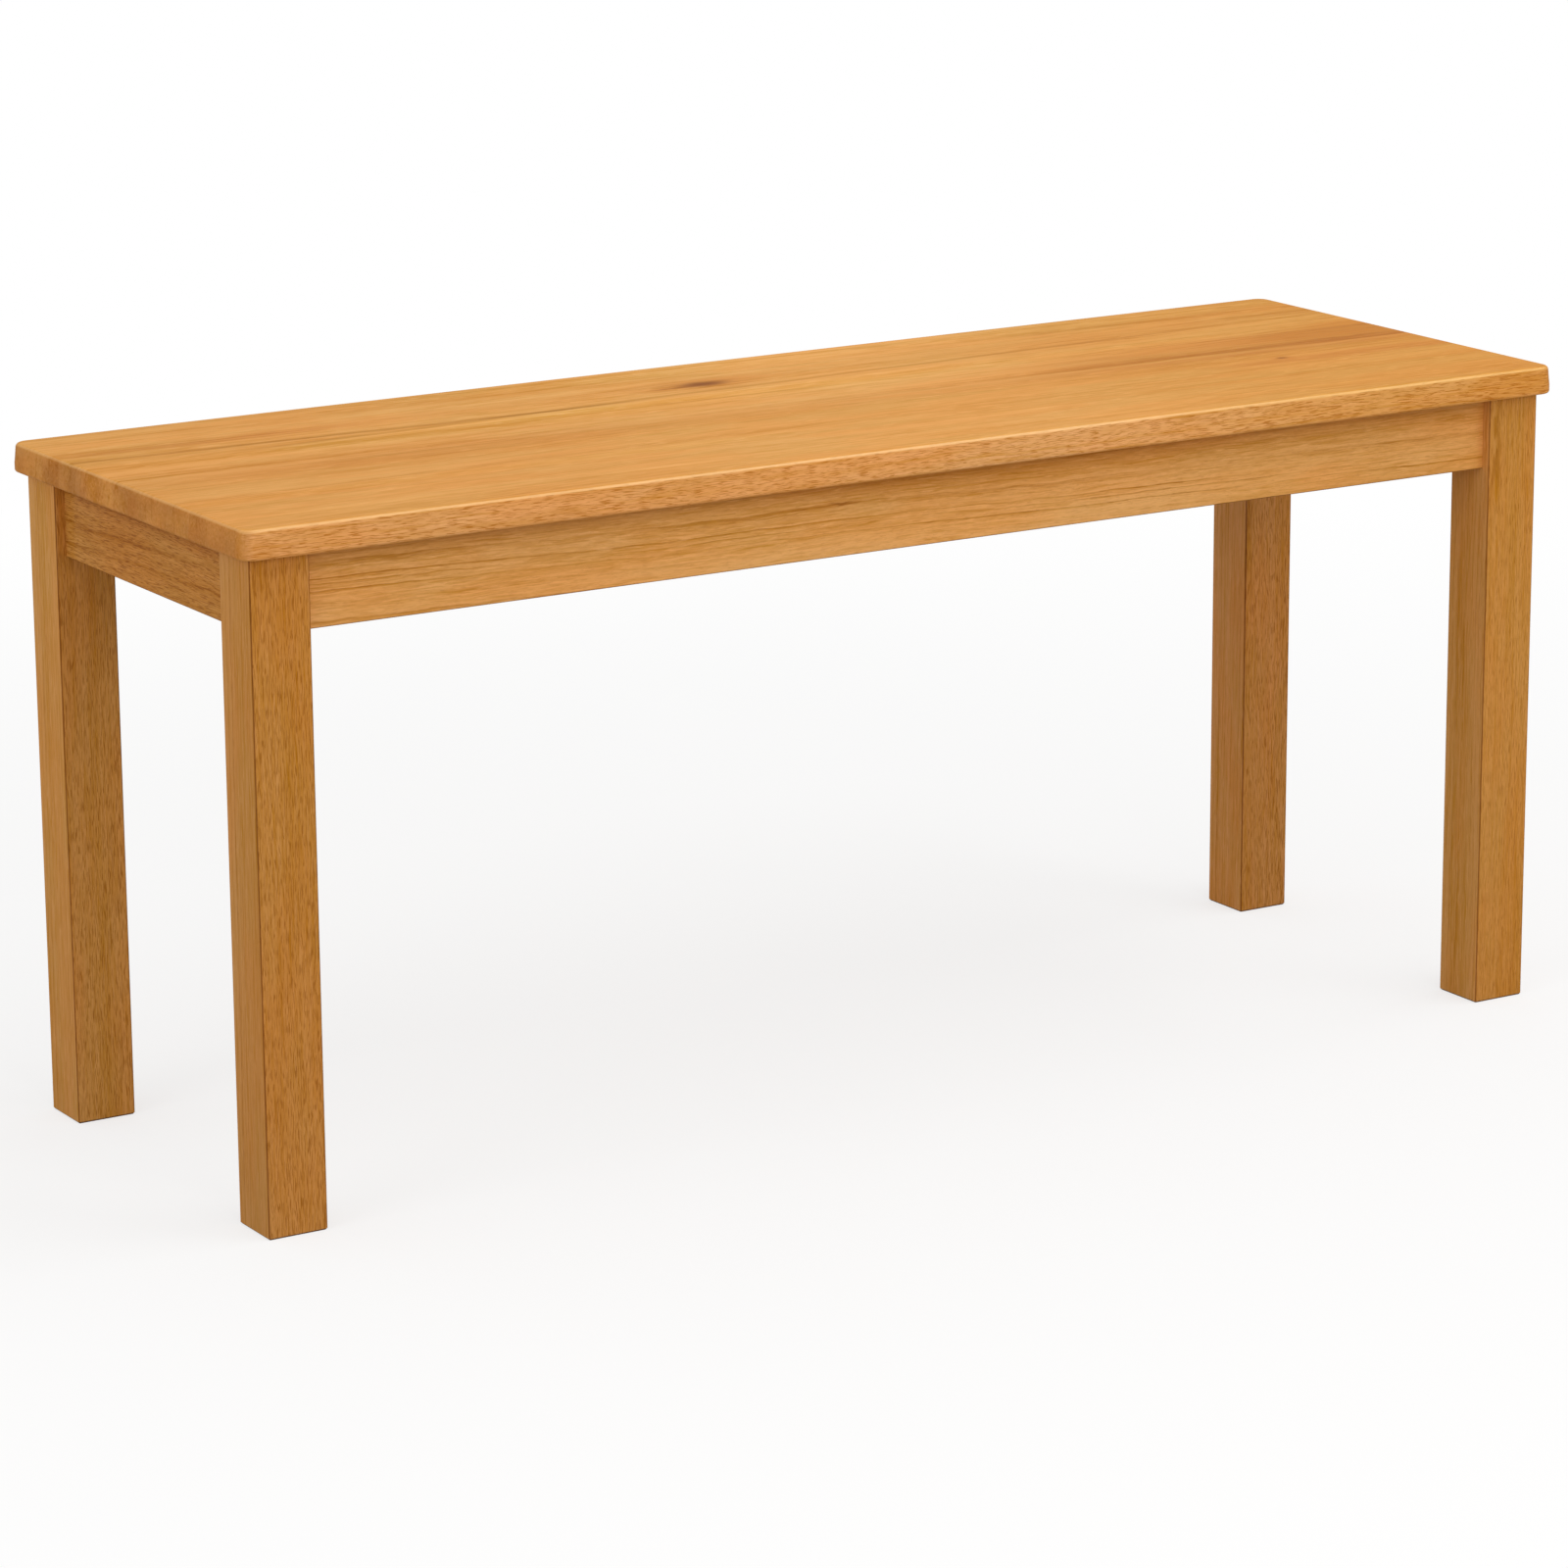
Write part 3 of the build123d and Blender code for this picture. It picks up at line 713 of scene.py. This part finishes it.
class ShapeRecipe(Recipe):
    """The same for a tree that makes shapes, where a node's inputs are named."""

    def shape(self, kind, out=0, settings=None, **values):
        """A node of that kind. An input's name is written with underscores for its spaces."""
        node = self.tree.nodes.new(kind)
        for name, setting in (settings or {}).items():
            setattr(node, name, setting)
        for name, value in values.items():
            self.fill(node.inputs[name.replace("_", " ")], value)
        return node.outputs[out]

    def joined(self, *shapes):
        node = self.tree.nodes.new("GeometryNodeJoinGeometry")
        for shape in reversed(shapes):
            self.tree.links.new(shape, node.inputs[0])
        return node.outputs[0]

    def cut(self, shape, cutter):
        """A shape with a cutter taken out of it."""
        node = self.tree.nodes.new("GeometryNodeMeshBoolean")
        node.operation = "DIFFERENCE"
        self.tree.links.new(shape, node.inputs["Mesh 1"])
        self.tree.links.new(cutter, node.inputs["Mesh 2"])
        return node.outputs["Mesh"]

    def upright(self, low, high):
        """An upright line from one height to another."""
        ends = [self.add("ShaderNodeCombineXYZ", 0.0, 0.0, height) for height in (low, high)]
        return self.shape("GeometryNodeCurvePrimitiveLine", Start=ends[0], End=ends[1])

    def turned(self, line, radius, sides):
        """The closed round shape whose radius that is along a line."""
        circle = self.shape("GeometryNodeCurvePrimitiveCircle", Resolution=sides, Radius=1.0)
        given = dict(Curve=line, Profile_Curve=circle, Scale=radius, Fill_Caps=True)
        return self.shape("GeometryNodeCurveToMesh", **given)


# The screws' own sizes. The imported model gives their places and lengths.
screw_sizes = {
    "Length": 0.025,
    "Head Radius": 0.004,
    "Head Height": 0.0026,
    "Plain Radius": 0.00175,
    "Core Radius": 0.0013,
    "Thread Radius": 0.0020,
    "Thread Pitch": 0.0016,
    "Threaded Share": 0.66,
    "Tip Length": 0.0040,
    "Recess Span": 0.0044,
    "Recess Width": 0.0010,
    "Recess Depth": 0.0015,
}

# Steps along the head and the shank, sides round them and round the thread's ridge, and the sharpest
# bend that is still shaded as smooth
head_steps = 12
shank_steps = 28
screw_sides = 20
thread_sides = 3
smooth_bend = math.radians(38)


def make_head(recipe, given, factor, level):
    """The pan head, upright at its rim and nearly flat on top, with a cross recess."""
    rise = recipe.upright(0.0, given["Head Height"])
    head = recipe.shape("GeometryNodeResampleCurve", Curve=rise, Count=head_steps)
    height = recipe.maths("SINE", recipe.maths("MULTIPLY", factor, math.pi / 2))
    height = recipe.maths("MULTIPLY", height, given["Head Height"])
    place = recipe.add("ShaderNodeCombineXYZ", 0.0, 0.0, height)
    head = recipe.shape("GeometryNodeSetPosition", Geometry=head, Position=place)
    risen = recipe.maths("POWER", recipe.maths("DIVIDE", level, given["Head Height"]), 2.0)
    radius = recipe.maths("POWER", recipe.maths("MAXIMUM", recipe.maths("SUBTRACT", 1.0, risen), 1e-8), 0.25)
    head = recipe.turned(head, recipe.maths("MULTIPLY", radius, given["Head Radius"]), screw_sides)

    # The recess is cut one arm after the other
    top = recipe.add("ShaderNodeCombineXYZ", 0.0, 0.0, given["Head Height"])
    depth = recipe.maths("MULTIPLY", given["Recess Depth"], 2.0)
    span = given["Recess Span"]
    width = given["Recess Width"]
    for arm in ((span, width), (width, span)):
        size = recipe.add("ShaderNodeCombineXYZ", *arm, depth)
        cutter = recipe.shape("GeometryNodeMeshCube", Size=size)
        cutter = recipe.shape("GeometryNodeTransform", Geometry=cutter, Translation=top)
        head = recipe.cut(head, cutter)
    return head


def make_shank(recipe, given, level, tip, thread_top, taper):
    """Plain under the head, then down to the thread's core, and a point."""
    plain = recipe.maths("GREATER_THAN", level, thread_top)
    wider = recipe.maths("SUBTRACT", given["Plain Radius"], given["Core Radius"])
    core = recipe.maths("MULTIPLY", recipe.maths("MULTIPLY_ADD", plain, wider, given["Core Radius"]), taper)
    overlap = recipe.maths("MULTIPLY", given["Head Height"], 0.2)
    line = recipe.upright(tip, overlap)
    shank = recipe.shape("GeometryNodeResampleCurve", Curve=line, Count=shank_steps)
    return recipe.turned(shank, core, screw_sides)


def wind_thread(recipe, given, factor, tip, thread_top, taper):
    """The thread winds about the core, and runs out at both ends."""
    threaded = recipe.maths("SUBTRACT", thread_top, tip)
    turns = recipe.maths("DIVIDE", threaded, given["Thread Pitch"])
    spiral = recipe.shape(
        "GeometryNodeCurveSpiral", Resolution=screw_sides, Rotations=turns,
        Start_Radius=given["Core Radius"], End_Radius=given["Core Radius"], Height=threaded,
    )
    foot = recipe.add("ShaderNodeCombineXYZ", 0.0, 0.0, tip)
    spiral = recipe.shape("GeometryNodeTransform", Geometry=spiral, Translation=foot)
    narrowed = recipe.add("ShaderNodeCombineXYZ", taper, taper, 1.0)
    place = recipe.vectors("MULTIPLY", recipe.shape("GeometryNodeInputPosition"), narrowed)
    spiral = recipe.shape("GeometryNodeSetPosition", Geometry=spiral, Position=place)
    spiral = recipe.shape("GeometryNodeSetCurveNormal", settings={"mode": "Z_UP"}, Curve=spiral)
    start = recipe.maths("MINIMUM", recipe.maths("MULTIPLY", factor, 9.0), 1.0)
    to_end = recipe.maths("SUBTRACT", 1.0, factor)
    stop = recipe.maths("MINIMUM", recipe.maths("MULTIPLY", to_end, 14.0), 1.0)
    ridge = recipe.maths("SUBTRACT", given["Thread Radius"], given["Core Radius"])
    run_out = recipe.maths("MAXIMUM", recipe.maths("MINIMUM", start, stop), 0.05)
    return recipe.turned(spiral, recipe.maths("MULTIPLY", ridge, run_out), thread_sides)


def set_on_points(recipe, given, screw):
    """One screw on each point, each turned its own way about its length."""
    kept_way = {"data_type": "FLOAT_VECTOR"}
    head_way = recipe.shape("GeometryNodeInputNamedAttribute", settings=kept_way, Name="head way")
    facing = recipe.shape("FunctionNodeAlignRotationToVector", settings={"axis": "Z"}, Vector=head_way)
    random = recipe.tree.nodes.new("FunctionNodeRandomValue")
    random.data_type = "FLOAT"
    spin_numbers = [socket for socket in random.inputs if socket.enabled]
    for socket, value in zip(spin_numbers, (0.0, math.pi)):
        socket.default_value = value
    recipe.fill(random.inputs["Seed"], given["Seed"])
    number = next(socket for socket in random.outputs if socket.enabled)
    spin = recipe.shape("FunctionNodeAxisAngleToRotation", Axis=(0, 0, 1), Angle=number)
    facing = recipe.shape(
        "FunctionNodeRotateRotation", settings={"rotation_space": "LOCAL"}, Rotation=facing, Rotate_By=spin
    )
    placed = dict(Points=given["Geometry"], Instance=screw, Rotation=facing)
    return recipe.shape("GeometryNodeInstanceOnPoints", **placed)


def make_screw_tree():
    """A wood screw on each point. Its head bears where the point is and looks the point's head way."""
    tree = bpy.data.node_groups.new("wood screws", "GeometryNodeTree")
    tree.interface.new_socket("Geometry", in_out="INPUT", socket_type="NodeSocketGeometry")
    for name, value in screw_sizes.items():
        tree.interface.new_socket(name, in_out="INPUT", socket_type="NodeSocketFloat").default_value = value
    tree.interface.new_socket("Seed", in_out="INPUT", socket_type="NodeSocketInt").default_value = 1
    tree.interface.new_socket("Finish", in_out="INPUT", socket_type="NodeSocketMaterial")
    tree.interface.new_socket("Geometry", in_out="OUTPUT", socket_type="NodeSocketGeometry")
    recipe = ShapeRecipe(tree)
    given = tree.nodes.new("NodeGroupInput").outputs
    tip = recipe.maths("MULTIPLY", given["Length"], -1.0)
    factor = recipe.shape("GeometryNodeSplineParameter")
    level = recipe.parts_of(recipe.shape("GeometryNodeInputPosition"))[2]
    head = make_head(recipe, given, factor, level)
    above_tip = recipe.maths("DIVIDE", recipe.maths("SUBTRACT", level, tip), given["Tip Length"])
    taper = recipe.maths("MAXIMUM", recipe.maths("MINIMUM", above_tip, 1.0), 0.03)
    thread_top = recipe.maths("MULTIPLY", tip, recipe.maths("SUBTRACT", 1.0, given["Threaded Share"]))
    shank = make_shank(recipe, given, level, tip, thread_top, taper)
    thread = wind_thread(recipe, given, factor, tip, thread_top, taper)
    screws = set_on_points(recipe, given, recipe.joined(head, shank, thread))
    screws = recipe.shape("GeometryNodeRealizeInstances", Geometry=screws)
    screws = recipe.shape("GeometryNodeSetMaterial", Geometry=screws, Material=given["Finish"])
    tree.links.new(screws, tree.nodes.new("NodeGroupOutput").inputs["Geometry"])
    return tree


def loose_parts(node):
    """The points of each separate solid in a node, read from a merged copy of its mesh."""
    work = bmesh.new()
    work.from_mesh(nodes[node].data)
    bmesh.ops.remove_doubles(work, verts=work.verts, dist=1e-6)
    left = set(work.verts)
    parts = []
    while left:
        reached = [left.pop()]
        for vertex in reached:
            near = {edge.other_vert(vertex) for edge in vertex.link_edges} & left
            left -= near
            reached.extend(near)
        parts.append([vertex.co.copy() for vertex in reached])
    work.free()
    return parts


def measure_screw(points):
    """Where a screw's head bears, which way its head looks, and how long the screw is under its head."""
    low = Vector([min(point[axis] for point in points) for axis in range(3)])
    high = Vector([max(point[axis] for point in points) for axis in range(3)])
    middle = (low + high) / 2
    size = high - low
    axis = max(range(3), key=lambda number: size[number])
    way = Vector([1.0 if number == axis else 0.0 for number in range(3)])

    def aside(point):
        return (point - middle - way * (point - middle).dot(way)).length

    widest = max(points, key=aside)
    if (widest - middle).dot(way) < 0:
        way = -way
    under_head = size[axis] - screw_sizes["Head Height"]
    bearing = middle + way * (size[axis] / 2 - screw_sizes["Head Height"])
    return bearing, way, under_head


def make_screws(node, tree, finish_material, seed):
    """Threaded screws with cross recesses, in place of a node's plain ones."""
    measured = [measure_screw(points) for points in loose_parts(node)]
    measured.sort(key=lambda row: tuple(row[0]))
    points = bpy.data.meshes.new(f"{node} places")
    points.from_pydata([bearing for bearing, way, length in measured], [], [])
    ways = points.attributes.new("head way", "FLOAT_VECTOR", "POINT")
    for row, (bearing, way, length) in zip(ways.data, measured):
        row.vector = way
    holder = bpy.data.objects.new(f"{node} places", points)
    bpy.context.scene.collection.objects.link(holder)
    modifier = holder.modifiers.new("wood screws", "NODES")
    modifier.node_group = tree
    values = {**screw_sizes, "Length": measured[0][2], "Seed": seed, "Finish": finish_material}
    for socket in tree.interface.items_tree:
        if socket.in_out == "INPUT" and socket.name in values:
            modifier[socket.identifier] = values[socket.name]
    depsgraph = bpy.context.evaluated_depsgraph_get()
    mesh = bpy.data.meshes.new_from_object(holder.evaluated_get(depsgraph), depsgraph=depsgraph)
    bpy.data.objects.remove(holder)
    mesh.name = node
    mesh.shade_smooth()
    mesh.set_sharp_from_angle(angle=smooth_bend)
    screws = bpy.data.objects.new(f"threaded_{node}", mesh)
    bpy.context.scene.collection.objects.link(screws)
    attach(screws, "root")
    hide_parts(node)


screw_tree = make_screw_tree()
screw_finish = make_screw_finish()
for seed, node in enumerate(("seat_screws", "corner_block_screws"), start=1):
    make_screws(node, screw_tree, screw_finish, seed)


def seen_straight(recipe):
    """One for what the camera sees, or sees in metal, glass or lacquer, and nought for other light."""
    rays = recipe.tree.nodes.new("ShaderNodeLightPath").outputs
    mirrored = recipe.maths("MAXIMUM", rays["Is Glossy Ray"], rays["Is Transmission Ray"])
    return recipe.maths("MAXIMUM", rays["Is Camera Ray"], mirrored)


# The floor's size, and from where to where its shadow fades, in metres from the bench's middle. Then its
# colour as other things get light from it, near and far, as it is seen, and where it has no shadow.
floor_reach = 30.0
shadow_fades = (0.5, 2.0)
near_paper = (0.37, 0.37, 0.37, 1)
far_paper = (0.62, 0.62, 0.62, 1)
seen_paper = (0.95, 0.95, 0.95, 1)
plain_white = (1, 1, 1, 1)


def make_floor():
    """White paper under the bench. It keeps the bench's shadow, and further off it is plain white."""
    mesh = bpy.data.meshes.new("floor")
    corners = [(x * floor_reach, y * floor_reach, 0) for x, y in ((-1, -1), (1, -1), (1, 1), (-1, 1))]
    mesh.from_pydata(corners, [], [(0, 1, 2, 3)])
    floor = bpy.data.objects.new("floor", mesh)
    bpy.context.scene.collection.objects.link(floor)
    material = bpy.data.materials.new("floor paper")
    material.use_nodes = True
    tree = material.node_tree
    tree.nodes.clear()
    recipe = Recipe(tree)
    place = tree.nodes.new("ShaderNodeTexCoord").outputs["Object"]
    distance = recipe.vectors("LENGTH", place, out="Value")
    far = recipe.ease(distance, *shadow_fades)
    seen = seen_straight(recipe)
    bounced = recipe.mix(far, near_paper, far_paper)
    paper = recipe.add("ShaderNodeBsdfDiffuse", recipe.mix(seen, bounced, seen_paper))
    white = recipe.add("ShaderNodeEmission", plain_white, 1.0)
    whitened = recipe.maths("MULTIPLY", recipe.maths("MULTIPLY_ADD", far, 0.30, 0.70), seen)
    shader = recipe.add("ShaderNodeMixShader", whitened, paper, white)
    tree.links.new(shader, tree.nodes.new("ShaderNodeOutputMaterial").inputs[0])
    mesh.materials.append(material)


def make_room_light(colour, strength):
    """Pale light from all round, and a white background."""
    world = bpy.data.worlds.new("studio")
    bpy.context.scene.world = world
    world.use_nodes = True
    tree = world.node_tree
    tree.nodes.clear()
    recipe = Recipe(tree)
    room = recipe.add("ShaderNodeBackground", colour, strength)
    white = recipe.add("ShaderNodeBackground", plain_white, 1.0)
    shader = recipe.add("ShaderNodeMixShader", seen_straight(recipe), room, white)
    tree.links.new(shader, tree.nodes.new("ShaderNodeOutputWorld").inputs[0])


def make_softbox(name, place, target, size, power):
    """A soft lamp of that width and height at a place, turned to a target."""
    lamp = bpy.data.lights.new(name, "AREA")
    lamp.shape = "RECTANGLE"
    lamp.size, lamp.size_y = size
    lamp.energy = power
    holder = bpy.data.objects.new(name, lamp)
    holder.location = place
    way = Vector(target) - Vector(place)
    holder.rotation_euler = way.to_track_quat("-Z", "Y").to_euler()
    bpy.context.scene.collection.objects.link(holder)


# The camera stands left of the bench and looks down at it a little. Turns are in degrees.
camera_place = (-1.9575, -3.1638, 1.1487)
camera_heading = 31.50
camera_dip = 14.48
camera_roll = -0.39
camera_lens = 130.37


def make_camera():
    camera = bpy.data.cameras.new("camera")
    camera.lens = camera_lens
    camera.sensor_width = 36.0
    holder = bpy.data.objects.new("camera", camera)
    heading = Matrix.Rotation(math.radians(-camera_heading), 4, "Z")
    dip = Matrix.Rotation(math.radians(90 - camera_dip), 4, "X")
    roll = Matrix.Rotation(math.radians(camera_roll), 4, "Z")
    holder.matrix_world = Matrix.Translation(camera_place) @ heading @ dip @ roll
    bpy.context.scene.collection.objects.link(holder)
    bpy.context.scene.camera = holder


# Each lamp's place, what it is turned to, its width and height in metres, and its power in watts
softboxes = {
    "overhead strip": ((1.1, -0.72, 2.26), (0.2, -0.1, 0.45), (2.2, 0.25), 12),
    "front softbox": ((-0.3, -2.8, 1.2), (0, 0, 0.3), (1.6, 0.9), 16),
    "right softbox": ((2.0, -2.2, 1.9), (0, 0, 0.3), (1.4, 1.4), 7),
    "left softbox": ((-2.8, -0.8, 1.2), (0, 0, 0.3), (1.4, 1.4), 15),
}
room_colour = (1.0, 0.99, 0.975, 1)
room_light = 0.66

make_floor()
make_room_light(room_colour, room_light)
for name, settings in softboxes.items():
    make_softbox(name, *settings)
make_camera()
bpy.context.scene.view_settings.view_transform = "Standard"
